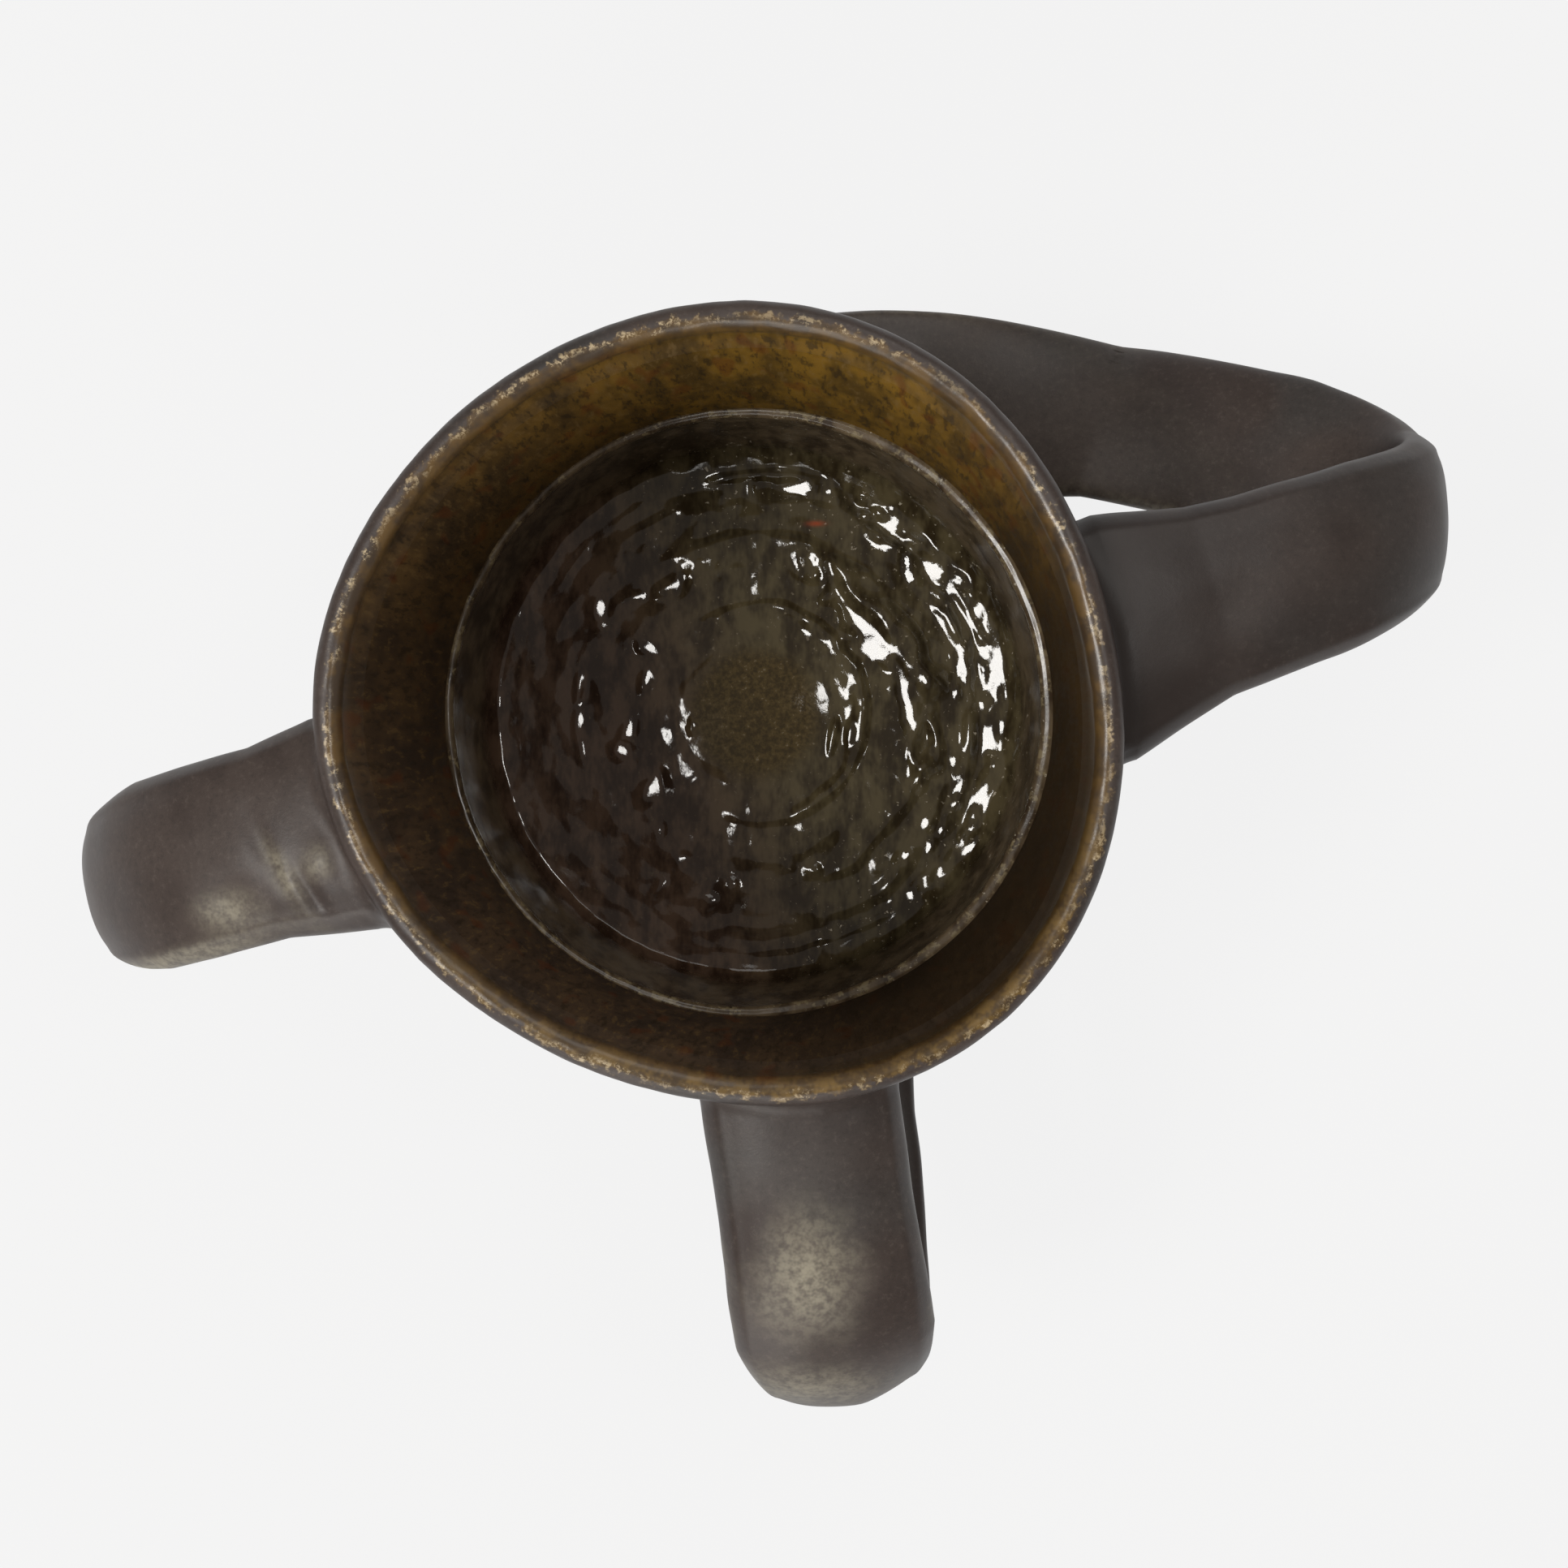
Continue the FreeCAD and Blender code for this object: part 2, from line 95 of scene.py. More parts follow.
class Finish:
    """A procedural material, put together from nodes: any input may be a number, a colour or another node."""

    def __init__(self, name):
        self.material = bpy.data.materials.new(name)
        self.material.use_nodes = True
        self.tree = self.material.node_tree
        self.shader = self.tree.nodes["Principled BSDF"]

    def put(self, socket, value):
        """Links or sets an input; None leaves it as it is."""
        if isinstance(value, bpy.types.NodeSocket):
            self.tree.links.new(value, socket)
        elif value is not None:
            socket.default_value = value

    def add(self, kind, out=0, props=None, **inputs):
        """A new node's output. Inputs go by name, or as i0, i1 and so on by number."""
        node = self.tree.nodes.new(kind)
        for key, value in (props or {}).items():
            setattr(node, key, value)
        for key, value in inputs.items():
            self.put(node.inputs[int(key[1:]) if key[1:].isdigit() else key.replace("_", " ")], value)
        return node.outputs[out]

    def maths(self, what, a, b=0.0, clamp=False):
        return self.add("ShaderNodeMath", props={"operation": what, "use_clamp": clamp}, i0=a, i1=b)

    def place(self, stretch=(1, 1, 1)):
        """Object coordinates in millimetres, stretched."""
        where = self.add("ShaderNodeTexCoord", out=3)
        return self.add("ShaderNodeVectorMath", props={"operation": "MULTIPLY"}, i0=where,
                        i1=[1000.0 * s for s in stretch])

    def noise(self, size, detail, rough, at=None):
        """Clouds of a size in millimetres: detail is how many finer octaves they have, rough how strong those are."""
        return self.add("ShaderNodeTexNoise", Vector=at or self.place(), Scale=1.0 / size, Detail=detail,
                        Roughness=rough)

    def ramp(self, value, low, high, first=0.0, last=1.0):
        """Goes smoothly from first to last while the value goes from low to high."""
        return self.add("ShaderNodeMapRange", props={"interpolation_type": "SMOOTHSTEP"}, Value=value, From_Min=low,
                        From_Max=high, To_Min=first, To_Max=last)

    def mix(self, share, a, b):
        """From colour a to colour b."""
        return self.add("ShaderNodeMix", out=2, props={"data_type": "RGBA"}, i0=share, i6=a, i7=b)

    def blend(self, share, a, b):
        """From number a to number b."""
        return self.add("ShaderNodeMix", out=0, props={"data_type": "FLOAT"}, i0=share, i2=a, i3=b)

    def value(self, name):
        """A number that the mesh keeps for each point."""
        return self.add("ShaderNodeAttribute", out=2, props={"attribute_name": name})

    def bump(self, height, distance):
        return self.add("ShaderNodeBump", Strength=1.0, Distance=distance / 1000.0, Height=height)


def clay(f):
    """The dry, satin outside: dark grey-brown with warm and bluish clouds, a fine sandy grain, and mottled paler
    patches where the point attribute "patch" is above zero, partly pale wear and partly painted sheen and highlights;
    where it is below zero, painted shade darkens the clay."""
    cloud = f.noise(13.0, 2.0, 0.6)
    grain = f.noise(0.9, 3.0, 0.85)
    warm = f.mix(f.ramp(cloud, 0.35, 0.65), (0.031, 0.0215, 0.0185, 1), (0.045, 0.0325, 0.0275, 1))
    blue = f.mix(f.ramp(f.noise(21.0, 1.0, 0.5), 0.52, 0.70, 0.0, 0.45), warm, (0.031, 0.034, 0.034, 1))
    dusty = f.mix(f.ramp(grain, 0.52, 0.72, 0.0, 0.20), blue, (0.125, 0.104, 0.090, 1))
    dusty = f.mix(f.ramp(grain, 0.48, 0.33, 0.0, 0.40), dusty, (0.017, 0.013, 0.011, 1))
    # Painted shade: where the patch value is below zero the clay darkens towards near black, most near the straps'
    # roots.
    dark = f.mix(f.ramp(f.value("patch"), 0.0, -1.0), dusty, (0.012, 0.008, 0.007, 1))
    mottle = f.ramp(f.noise(1.3, 2.0, 0.8), 0.28, 0.70, 0.25, 1.0)
    # Paler patches, mottled: partly pale wear, partly painted sheen and highlights.
    patch = f.maths("MULTIPLY", f.value("patch"), mottle, clamp=True)
    pale = f.mix(patch, dark, (0.240, 0.218, 0.162, 1))
    rough = f.ramp(cloud, 0.3, 0.7, 0.40, 0.50)
    return pale, rough, f.bump(grain, 0.022)


def pour(name, colour_rough_normal, ior=1.45):
    """A finish from what a function of Finish returns: colour, roughness and normal."""
    f = Finish(name)
    f.shader.inputs["IOR"].default_value = ior
    colour, rough, normal = colour_rough_normal(f)
    f.put(f.shader.inputs["Base Color"], colour)
    f.put(f.shader.inputs["Roughness"], rough)
    f.put(f.shader.inputs["Normal"], normal)
    return f.material


dry_clay = pour("dry_clay", clay)


# ---- the thrown pot ----
# One stoneware wall from the middle of the foot, up the outside, over the lip, down the inside past the ledge and in
# to the button on the floor. Fingers left rings in the floor, and the liner glaze pooled over them in ripples.

def liner(f):
    """The satin liner on the straight wall: dark brown, turning amber towards the side at about 78 degrees, where
    painted light brightens the far wall over the glaze's own amber, with fine runs and rusty flecks.
    """
    down = f.place((1, 1, 0.25))
    blotch = f.noise(6.0, 3.0, 0.7, at=down)
    fleck = f.noise(1.1, 3.0, 0.75, at=f.place((1, 1, 0.15)))
    brown = f.mix(f.ramp(blotch, 0.35, 0.65), (0.058, 0.039, 0.027, 1), (0.104, 0.066, 0.038, 1))
    amber = f.mix(f.ramp(blotch, 0.36, 0.64), (0.098, 0.056, 0.011, 1), (0.240, 0.132, 0.017, 1))
    # Painted light: the wall turns a brighter amber towards the side that the lamps light.
    wall = f.mix(f.value("painted_light_side"), brown, amber)
    wall = f.mix(f.ramp(fleck, 0.54, 0.68, 0.0, 0.38), wall, (0.25, 0.16, 0.06, 1))
    wall = f.mix(f.ramp(fleck, 0.48, 0.36, 0.0, 0.60), wall, (0.028, 0.019, 0.010, 1))
    rust = f.ramp(f.noise(3.1, 1.0, 0.6, at=down), 0.58, 0.70, 0.0, 0.40)
    wall = f.mix(rust, wall, (0.14, 0.034, 0.006, 1))
    wall = f.mix(f.value("deep"), wall, (0.026, 0.014, 0.004, 1))
    return wall, f.ramp(fleck, 0.3, 0.7, 0.60, 0.72), None


def lip(f):
    """The lip: clay, a broken line of cream specks along the crest, then the liner begins in a ragged edge."""
    dry, dry_rough, dry_normal = clay(f)
    wall, wall_rough, _ = liner(f)
    past_lip = f.value("past_lip")
    under = f.mix(f.ramp(f.noise(4.0, 3.0, 0.65), 0.38, 0.62), (0.045, 0.031, 0.020, 1), (0.100, 0.060, 0.022, 1))
    golden = f.mix(f.ramp(f.noise(3.0, 3.0, 0.7), 0.40, 0.60), (0.045, 0.026, 0.008, 1), (0.150, 0.092, 0.024, 1))
    under = f.mix(f.value("gold"), under, golden)
    under = f.mix(f.ramp(past_lip, 0.9, 2.8), under, wall)
    ragged = f.maths("ADD", past_lip, f.ramp(f.noise(2.2, 3.0, 0.65), 0.2, 0.8, -0.7, 0.7))
    lined = f.ramp(ragged, -0.35, 0.25)
    crest = f.ramp(f.maths("ABSOLUTE", f.maths("SUBTRACT", ragged, 0.35)), 0.70, 0.10)
    speck = f.maths("MULTIPLY", crest, f.ramp(f.noise(1.1, 4.0, 0.8), 0.50, 0.62))
    speck = f.maths("MULTIPLY", speck, f.ramp(f.noise(9.0, 2.0, 0.5), 0.36, 0.60, 0.35, 0.95))
    colour = f.mix(speck, f.mix(lined, dry, under), (0.40, 0.32, 0.20, 1))
    rough = f.blend(lined, dry_rough, f.blend(f.ramp(past_lip, 2.0, 6.0), 0.30, wall_rough))
    return colour, rough, dry_normal


LEDGE_HEIGHT = 28.2


def pool(f):
    """The liner in the bowl: thick, wet-looking and olive, browner towards the left, amber over the button in the
    middle, with painted glints as pale specks over the right side, and a broken pale line painted along the ledge as
    its highlight."""
    radius, height = f.value("radius"), f.value("height")
    streak = f.noise(3.6, 3.0, 0.7, at=f.place((1, 0.45, 0.45)))
    fine = f.noise(0.8, 3.0, 0.7)
    olive = f.mix(f.ramp(streak, 0.36, 0.64), (0.030, 0.021, 0.010, 1), (0.098, 0.078, 0.040, 1))
    brown = f.mix(f.ramp(streak, 0.36, 0.64), (0.036, 0.020, 0.013, 1), (0.104, 0.064, 0.042, 1))
    olive = f.mix(f.value("shade"), olive, brown)
    button = f.mix(f.ramp(fine, 0.35, 0.65), (0.040, 0.026, 0.007, 1), (0.088, 0.059, 0.018, 1))
    ground = f.mix(f.ramp(radius, 7.0, 11.0), button, olive)
    rise = f.mix(f.ramp(streak, 0.36, 0.64), (0.048, 0.032, 0.019, 1), (0.150, 0.110, 0.066, 1))
    ground = f.mix(f.ramp(height, 9.6, 14.0), ground, rise)
    ground = f.mix(f.ramp(fine, 0.60, 0.72, 0.0, 0.35), ground, (0.16, 0.12, 0.07, 1))
    # Painted glints: pale specks strewn over the outer right side of the floor.
    painted_glints = f.maths("MULTIPLY", f.ramp(fine, 0.65, 0.70), f.ramp(radius, 18.0, 33.0, 0.15, 0.9))
    painted_glints = f.maths("MULTIPLY", painted_glints, f.ramp(f.value("shade"), 0.6, 0.1))
    ground = f.mix(painted_glints, ground, (0.50, 0.45, 0.35, 1))
    ground = f.mix(f.value("ember"), ground, (0.42, 0.07, 0.02, 1))
    # Painted highlight: a broken pale line along the ledge.
    painted_ledge_highlight = f.ramp(f.maths("ABSOLUTE", f.maths("SUBTRACT", height, LEDGE_HEIGHT)), 0.5, 0.2)
    painted_ledge_highlight = f.maths("MULTIPLY", painted_ledge_highlight, f.ramp(f.noise(1.8, 3.0, 0.7), 0.52, 0.63, 0.0, 0.85))
    colour = f.mix(painted_ledge_highlight, ground, (0.26, 0.21, 0.12, 1))
    steep = f.maths("MINIMUM", f.ramp(height, 9.6, 12.0, 0.0, 0.30), f.ramp(height, 27.4, 26.2, 0.16, 0.30))
    rough = f.maths("ADD", f.ramp(fine, 0.3, 0.7, 0.04, 0.09), steep)
    return colour, rough, f.bump(fine, 0.014)


# The floor's level, where its edge starts to rise, and the banks that fingers left: radius, rise, breadth of the
# slope on the inner side and of the drop on the outer side.
FLOOR_LEVEL, EDGE_STARTS = 8.0, 32.8
FINGER_RINGS = ((15.3, 0.50, 2.2, 1.2), (20.4, 0.28, 2.8, 2.0), (25.2, 0.42, 2.4, 1.3), (30.9, 0.46, 2.0, 1.0),
                (33.9, 0.42, 1.5, 0.9))
# Dents where the liner settled in tilted flats: x, y, half length, half breadth and direction. The first mirror the
# left lamp and the others the right one.
RIGHT_DENTS = (
    (6.4, 32.0, 2.8, 1.2, 0), (-0.9, 32.0, 1.4, 0.6, 90), (-9.2, 21.1, 1.5, 0.8, 20), (6.0, 21.1, 1.4, 0.6, 90),
    (11.4, 19.0, 3.0, 0.8, -70), (16.6, 11.3, 7.6, 1.5, -46), (17.0, 9.0, 3.0, 1.3, -20), (21.7, 1.6, 4.6, 1.1, -76),
    (19.6, 26.4, 7.4, 1.1, -38), (25.6, 20.4, 3.0, 1.2, -45), (29.7, 5.9, 4.0, 1.1, -85), (34.0, 4.0, 5.2, 1.4, -88),
    (33.7, -3.6, 3.2, 1.3, 88), (31.9, -12.6, 4.4, 1.4, 70), (28.6, -10.5, 2.6, 0.9, 65), (30.6, -19.0, 2.6, 1.1, 55),
    (27.1, -14.2, 1.0, 0.6, 60), (23.4, -10.8, 1.0, 0.6, 45), (22.2, -25.8, 1.2, 0.9, 60), (7.6, -22.4, 1.4, 0.8, 10),
    (-4.6, -25.4, 2.0, 1.5, 60), (-7.4, -27.1, 1.6, 1.0, 20), (13.5, -3.0, 1.6, 0.6, 80), (11.0, -3.6, 2.2, 0.5, 80))
LEFT_DENTS = (
    (-11.2, 28.6, 1.0, 0.7, 90), (-11.9, 18.3, 2.1, 0.9, 30), (-16.7, 16.7, 1.5, 0.7, 15), (-22.0, 15.0, 1.6, 1.2, 60),
    (-21.6, 12.6, 1.0, 0.6, 0), (-14.9, 9.4, 1.3, 0.8, -30), (-15.4, 5.0, 1.7, 0.8, 80), (-18.0, -2.6, 2.2, 1.0, 75),
    (-18.9, -5.1, 1.3, 1.0, 0), (-14.7, -10.6, 2.2, 1.1, 60), (-25.0, 4.1, 1.8, 0.6, 80), (-25.2, -0.8, 1.6, 0.6, 85),
    (-24.5, -5.4, 1.2, 0.6, 90), (-13.5, -16.7, 1.1, 0.6, 80), (-10.1, -20.6, 1.0, 0.7, 0),
    (-13.1, -24.0, 1.8, 0.6, 60), (-8.8, -0.8, 1.8, 0.4, 85))
# Small flats strewn along the right edge, with radius, azimuth, half length and slant drawn at random.
EDGE_DENT_COUNT = 60
strewn = np.random.default_rng(41)
EDGE_DENTS = tuple((r * np.cos(a), r * np.sin(a), length, 0.6 * length, np.degrees(a) + 90 + slant)
                   for r, a, length, slant in zip(*(strewn.uniform(low, high, EDGE_DENT_COUNT) for low, high in (
                       (28.5, 35.2), (-0.85, 1.35), (0.5, 1.3), (-25, 25)))))


def floor_height(x, y):
    """Height of the floor: flat, with a low button and a rising edge; finger rings, each a bank that slopes gently
    inward and drops outward, strong to the right and broken by lumps; one dragged bank; a pit; pooled ripples."""
    r = np.hypot(x, y)
    p = np.stack([x, y, 0 * x], -1)
    right = step(-0.9, 0.7, np.cos(np.arctan2(y, x) - np.radians(20)))
    wander = 1.0 * lumps(p, 13.0, 11) + 0.4 * lumps(p, 5.0, 18)
    # The rising edge, the button and the groove round it.
    near_edge = r + 0.8 * lumps(p, 7.0, 10)
    fillet = (0.15 + 0.85 * right) * (0.6 + 0.5 * step(-0.3, 0.3, lumps(p, 6.0, 26)))
    height = FLOOR_LEVEL + 0.20 * right * np.clip(near_edge - EDGE_STARTS, 0, None)
    height += 0.8 * fillet * np.clip((near_edge - 34.2) / 2.7, 0, 1.3) ** 2
    height += 0.50 * step(10.0, 3.0, r + 0.5 * lumps(p, 8.0, 12))
    height -= 0.22 * np.exp(-((r - 11.4 - 0.5 * wander) / 1.5) ** 2)
    for ring, rise, slope, drop in FINGER_RINGS:
        bank = step(-slope, 0, r - ring - wander) * step(drop, 0, r - ring - wander)
        broken = step(-0.45, 0.35, lumps(p + [0, 0, 5.0 * ring], 9.0, 13)) * (0.14 + 1.0 * right)
        height += rise * broken * bank
    # The bank that a finger dragged across the rings: it slopes to one side of its line and drops on the other.
    start_x, start_y, run_x, run_y = 11.0, 21.0, 14.5, -15.2
    share = np.clip(((x - start_x) * run_x + (y - start_y) * run_y) / (run_x ** 2 + run_y ** 2), 0, 1)
    off_x, off_y = x - start_x - run_x * share, y - start_y - run_y * share
    off = np.hypot(off_x, off_y)
    away = off * np.sign(off_y * run_x - off_x * run_y) + 1.6 * lumps(p, 5.5, 14)
    height += 0.95 * step(-5.0, 0, away) * step(2.4, 0, away) * step(4.0, 0.5, off - np.abs(away))
    # The pit, a pointed oval with a raised rim.
    pit_x, pit_y = 24.3, -4.0
    across = (x - pit_x) / 2.0
    from_pit = np.hypot(across, (y - pit_y) / 3.4 + 0.35 * np.abs(across))
    height += 0.35 * np.exp(-((from_pit - 1.0) / 0.28) ** 2) - 0.55 * np.exp(-(from_pit / 0.62) ** 2)
    # Ripples, weaker on the button, and the dents, each a leaning flat that takes the place of what it covers.
    uneven = 0.36 * lumps(p, 7.5, 15) + 0.20 * lumps(p * [1.0, 0.6, 1], 3.6, 16) + 0.06 * lumps(p, 1.6, 17)
    height += (0.12 + 0.88 * step(7.5, 14.0, r)) * uneven
    ragged = 1 + 0.35 * lumps(p, 2.6, 19)
    ripple = 0.03 * lumps(p, 2.2, 20)
    for sense, lean_x, lean_y, dents in ((1, 0.20, 0.07, RIGHT_DENTS + EDGE_DENTS), (-1, 0.18, 0.053, LEFT_DENTS)):
        for dent_x, dent_y, length, breadth, direction in dents:
            off_x, off_y = x - dent_x, y - dent_y
            a = np.radians(direction)
            along = (off_x * np.cos(a) + off_y * np.sin(a)) / (1.25 * length)
            across = (off_y * np.cos(a) - off_x * np.sin(a)) / (1.25 * breadth)
            here = np.exp(-(ragged * np.hypot(along, across)) ** 4)
            lean = sense * ((lean_x + 0.002 * sense * dent_x) * off_x + (lean_y + 0.002 * sense * dent_y) * off_y)
            level = FLOOR_LEVEL + 0.15 + 0.22 * max(np.hypot(dent_x, dent_y) - EDGE_STARTS, 0)
            height += here * (level + lean + ripple - height)
    return height


def tube(name, rings, poles, finishes, values):
    """A closed smooth surface through rings[row, point], with a pole beyond each end. finishes lists the row that
    each finish starts at; values are per-point numbers for the finishes, by name."""
    rows, count = rings.shape[:2]
    points = np.concatenate([rings.reshape(-1, 3), np.asarray(poles)]) / 1000.0
    i, j = np.meshgrid(np.arange(rows - 1), np.arange(count), indexing="ij")
    k = (j + 1) % count
    quads = np.stack([i * count + j, i * count + k, (i + 1) * count + k, (i + 1) * count + j], -1)
    j = np.arange(count)
    k = (j + 1) % count
    first_pole, last_pole, last_row = rows * count, rows * count + 1, (rows - 1) * count
    row_of_face = np.concatenate([i.ravel(), 0 * j, 0 * j + rows - 1])
    fans = np.concatenate([np.stack([0 * j + first_pole, k, j], -1),
                           np.stack([0 * j + last_pole, last_row + j, last_row + k], -1)])
    a, b, c = points[quads[..., 0]], points[quads[..., 1]], points[quads[..., 2]]
    if np.sum(a * np.cross(b, c)) < 0:
        quads, fans = quads[..., ::-1], fans[..., ::-1]
    mesh = bpy.data.meshes.new(name)
    mesh.from_pydata(points.tolist(), [], quads.reshape(-1, 4).tolist() + fans.tolist())
    mesh.shade_smooth()
    for label, field in values.items():
        flat = np.concatenate([np.asarray(field, float).reshape(-1), [field[0].mean(), field[-1].mean()]])
        mesh.attributes.new(label, "FLOAT", "POINT").data.foreach_set("value", flat)
    for start, finish in finishes:
        mesh.materials.append(finish)
    starts = [start for start, finish in finishes]
    finish_of_face = np.searchsorted(starts, row_of_face, "right") - 1
    mesh.polygons.foreach_set("material_index", finish_of_face.astype(np.int32))
    piece = bpy.data.objects.new(name, mesh)
    bpy.context.scene.collection.objects.link(piece)
    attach(piece, "root")
    return piece


around = np.linspace(0, 2 * np.pi, 384, endpoint=False)
warp = rim_warp(around)
rows, past_lip = [], []


def lay(radius, height, past):
    """Adds one row of the pot round its axis. past is how far it lies past the lip's crest, from outside to inside."""
    radius = radius + 0 * around
    height = height + 0 * around
    rows.append(np.stack([radius * np.cos(around), radius * np.sin(around), height], -1))
    past_lip.append(past + 0 * around)


def circle(radius, height=0):
    """Points of a circle, to read lumps at."""
    return np.stack([radius * np.cos(around), radius * np.sin(around), height + 0 * around], -1)


# How far past the lip's crest the foot and the bowl count as lying. The foot, with its recess, foot ring and bevel, as
# radius and height. Then the outer wall.
FAR_OUTSIDE, FAR_INSIDE = -99, 60
FOOT = ((2, 1.6), (10, 1.6), (20, 1.6), (29, 1.6), (32.4, 1.5), (33.3, 1.1), (33.8, 0.35), (34.3, 0.05),
        (35.0, 0.0), (37.5, 0.0), (39.3, 0.0), (40.0, 0.15), (40.6, 0.7), (42.2, 2.4))
for radius, height in FOOT:
    lay(radius, height, FAR_OUTSIDE)
LIP_BASE = 88.0
for height in np.concatenate([np.linspace(3.4, 6.0, 5), np.linspace(7.8, 86.0, 30), [87.2, LIP_BASE]]):
    lay(outside(around, height), height, height - 91.0)

# The lip: half an ellipse over the wall, a little uneven in thickness and height. It counts as half_over to each side
# of its crest.
finishes = [(0, dry_clay), (len(rows) - 1, pour("lip", lip))]
outer = outside(around, LIP_BASE)
thick = 3.35 + 0.25 * lumps(circle(44), 14.0, 21) + 0.12 * lumps(circle(44), 4.0, 22)
top = 1.75 + 0.16 * lumps(circle(44), 16.0, 23) + 0.07 * lumps(circle(44), 3.0, 24)
half_over = 1.7
for lean in np.radians(np.linspace(10, 170, 17)):
    nick = 0.06 * lumps(circle(44, 3 * lean), 2.2, 25)
    lay(outer - thick / 2 + (thick / 2 + nick) * np.cos(lean), LIP_BASE + (top + nick) * np.sin(lean),
        -half_over * np.cos(lean))
inner_lip = outer - thick

# The straight wall inside, with faint throwing lines. The lip's finish runs on over its upper edge.
LINER_STARTS = 80.0
for height in np.concatenate([[LIP_BASE, 87.2], np.linspace(86.0, 30.0, 44), np.linspace(29.6, 28.6, 4)]):
    p = circle(40, height)
    straight = np.interp(height, [28.6, 34, 45, 60, 75, 82, 88], [40.85, 40.75, 40.5, 40.4, 40.5, 40.8, 41.1])
    lines = 0.07 * lumps(p * [0.25, 0.25, 1.5], 5.0, 31) * (0.5 + step(70, 86, height))
    drawn = straight + warp_share(height) * warp + lines + 0.15 * lumps(p, 15.0, 32)
    lay(np.where(height > 86.5, inner_lip, drawn), height, half_over + LIP_BASE - height)
    if height < LINER_STARTS and len(finishes) == 2:
        finishes.append((len(rows) - 1, pour("liner", liner, 1.22)))

# The ledge: a worn bead all round, as radius, height and share of the wear.
finishes.append((len(rows) - 1, pour("pool", pool)))
worn = 0.20 * lumps(circle(40), 6.0, 33) + 0.10 * lumps(circle(40), 2.4, 34)
lean_in = 0.35 * np.cos(around - np.radians(170))
LEDGE = ((40.55, 28.35, 0.3), (40.2, 28.3, 0.8), (39.85, 28.15, 1), (39.62, 27.8, 1), (39.6, 27.2, 0.6),
         (39.62, 26.4, 0.2))
for radius, height, wear in LEDGE:
    lay(radius + wear * worn + lean_in, height + wear * worn, FAR_INSIDE)

# The wall of the bowl, down to the uneven edge of the floor, and the floor.
BOWL_SHARES, BOWL_RADII = [0, 0.15, 0.5, 0.75, 0.9, 1], [39.62, 39.5, 38.9, 38.3, 37.7, 36.9]
BOWL_HEIGHTS = [25.6, 23.0, 17.0, 12.6, 10.2, 9.1]
floor_edge = floor_height(BOWL_RADII[-1] * np.cos(around), BOWL_RADII[-1] * np.sin(around))
for share in np.linspace(0, 1, 26):
    height = np.interp(share, BOWL_SHARES, BOWL_HEIGHTS)
    p = circle(38, height)
    settle = step(1.0, 0.6, share)
    radius = np.interp(share, BOWL_SHARES, BOWL_RADII) + 0.22 * lumps(p * [1, 1, 0.5], 4.0, 35)
    lay(radius + 0.10 * lumps(p, 2.0, 36) + settle * lean_in,
        height + (1 - settle) * (floor_edge - BOWL_HEIGHTS[-1]), FAR_INSIDE)
floor_radii = np.concatenate([np.linspace(36.4, 1.0, 100), [0.5]])[:, None]
for radius, height in zip(floor_radii, floor_height(floor_radii * np.cos(around), floor_radii * np.sin(around))):
    lay(radius, height, FAR_INSIDE)

# What the finishes need to know of each point: where painted light brightens the wall, where the lip is golden, where
# the wall is dark, where the floor is brown, and one red ember in the liner.
rows, past_lip = np.array(rows), np.array(past_lip)
x, y, height = rows[..., 0], rows[..., 1], rows[..., 2]
turn = np.arctan2(y, x)
# Painted light: the wall's share of bright amber, strongest at 78 degrees, where the lamps fall on the far wall.
painted_light_side = (0.5 + 0.5 * np.cos(turn - np.radians(78))) ** 2.4
over = step(0.50, 0.95, 0.5 + 0.5 * np.cos(turn + np.radians(75)))
past_lip += 0.6 * over * (np.abs(past_lip) < half_over + 0.05)
deep = 0.80 * step(0.2, 0.9, np.cos(turn + np.radians(22)))
shade = step(6.0, -22.0, x + 0.35 * y)
ember = np.exp(-((x - 8.7) / 1.1) ** 2 - ((y - 27.1) / 0.32) ** 2) * (height > 6.5) * (height < 10.0)
pot = tube("mug_body", rows, [(0, 0, 1.6), (0, 0, float(height[-1].mean()))], finishes,
           {"past_lip": past_lip, "radius": np.hypot(x, y), "height": height, "painted_light_side": painted_light_side,
            "gold": 0.7 * over, "deep": deep, "shade": shade, "ember": ember})
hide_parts("mug")


# ---- the handles ----
# Each is a strap of clay pulled out by wet hands: rounded outside, flatter inside, with soft edges. Its ends are
# pressed on to the wall and smeared out, so the clay flows from one into the other.

def unit(v):
    """Vectors at length one."""
    return v / np.maximum(np.linalg.norm(v, axis=-1, keepdims=True), 1e-9)


def polar(radius, azimuth, height):
    """A point at a radius, an azimuth in degrees and a height."""
    azimuth = np.radians(azimuth)
    return np.array([radius * np.cos(azimuth), radius * np.sin(azimuth), height])


def heading(azimuth, slope=0.0):
    """Unit vectors along azimuths that slope up from level, in degrees."""
    azimuth, slope = np.radians(azimuth), np.radians(slope)
    return np.stack([np.cos(azimuth) * np.cos(slope), np.sin(azimuth) * np.cos(slope),
                     np.sin(slope) + 0 * azimuth], -1)


# The shares of a strap's line at which its values are given: breadth, rise of the rounded outside, shift sideways,
# direction and tilt of the flat, and painted shade.
WIDTH_AT, CROWN_AT = [0, 0.14, 0.31, 0.5, 0.62, 0.87, 1], [0, 0.14, 0.34, 0.5, 0.66, 0.87, 1]
SWAY_AT, FLAT_AT, ROLL_AT, DARK_AT = [0, 0.14, 0.31], [0, 0.5, 1], [0, 0.5, 0.75, 1], [0, 0.2, 0.5, 0.75, 1]


